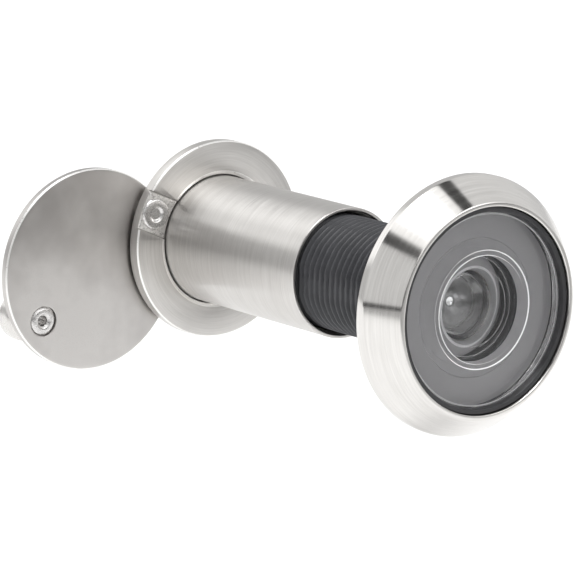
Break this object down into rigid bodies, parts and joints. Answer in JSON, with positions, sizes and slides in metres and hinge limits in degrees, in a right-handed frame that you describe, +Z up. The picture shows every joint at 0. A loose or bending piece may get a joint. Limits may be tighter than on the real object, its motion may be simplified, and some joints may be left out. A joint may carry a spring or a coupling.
{
  "type": "door viewer",
  "caption": "Wide-angle door viewer: conical bezel and lens barrel that screw into a sleeve with a round flange and a swinging privacy cover.",
  "frame": {"origin": "where the optical axis meets the indoor face of the door, which is the door side of the rear flange", "axes": "+Y along the optical axis towards the room, so the bezel looks along -Y; +Z up; +X to the right as seen from outdoors"},
  "size_m": [0.0451, 0.0605, 0.0306],
  "materials": {
    "satin_nickel": "brushed satin nickel plating over brass",
    "rivet_steel": "bright rolled steel",
    "black_plastic": "moulded black, semi-matt",
    "spacer_aluminium": "satin, as turned",
    "black_rubber": "matt",
    "front_glass": "polished",
    "inner_glass": "polished"
  },
  "bodies": {
    "rear_unit": {"rear_sleeve": "satin_nickel", "rear_flange": "satin_nickel", "eyepiece_lens": "inner_glass", "eyepiece_ring": "black_plastic", "pivot_rivet": "rivet_steel", "pivot_shim": "rivet_steel", "pivot_spring_washer": "rivet_steel"},
    "cover": {"cover_disc": "satin_nickel", "cover_knob": "satin_nickel", "knob_rivet": "rivet_steel"},
    "gasket": {"bezel_gasket": "black_rubber"},
    "front_unit": {"front_bezel": "satin_nickel", "lens_barrel": "black_plastic", "front_lens": "front_glass", "front_lens_seal": "black_rubber", "front_lens_ring": "black_plastic", "first_spacer": "spacer_aluminium", "second_lens": "inner_glass", "third_lens": "inner_glass", "baffle_tube": "black_plastic", "barrel_end_ring": "black_plastic"}
  },
  "joints": [
    {"name": "cover_swing", "type": "hinge", "parent": "rear_unit", "child": "cover", "pos_m": [-0.00932, 0, 0.00415], "axis": [0, 1, 0], "range_deg": [-118.5, 61.5]},
    {"name": "gasket_slide", "type": "slide", "parent": "rear_unit", "child": "gasket", "axis": [0, 1, 0], "range_m": [-0.0055, 0.0125]},
    {"name": "front_unit_turn", "type": "hinge", "parent": "gasket", "child": "front_unit", "pos_m": [0, 0, 0], "axis": [0, 1, 0], "range_deg": [-1980, 4500]}
  ],
  "couplings": [
    {"joint": "front_unit_turn", "follows": "gasket_slide", "rad_per_m": 6283.2}
  ]
}
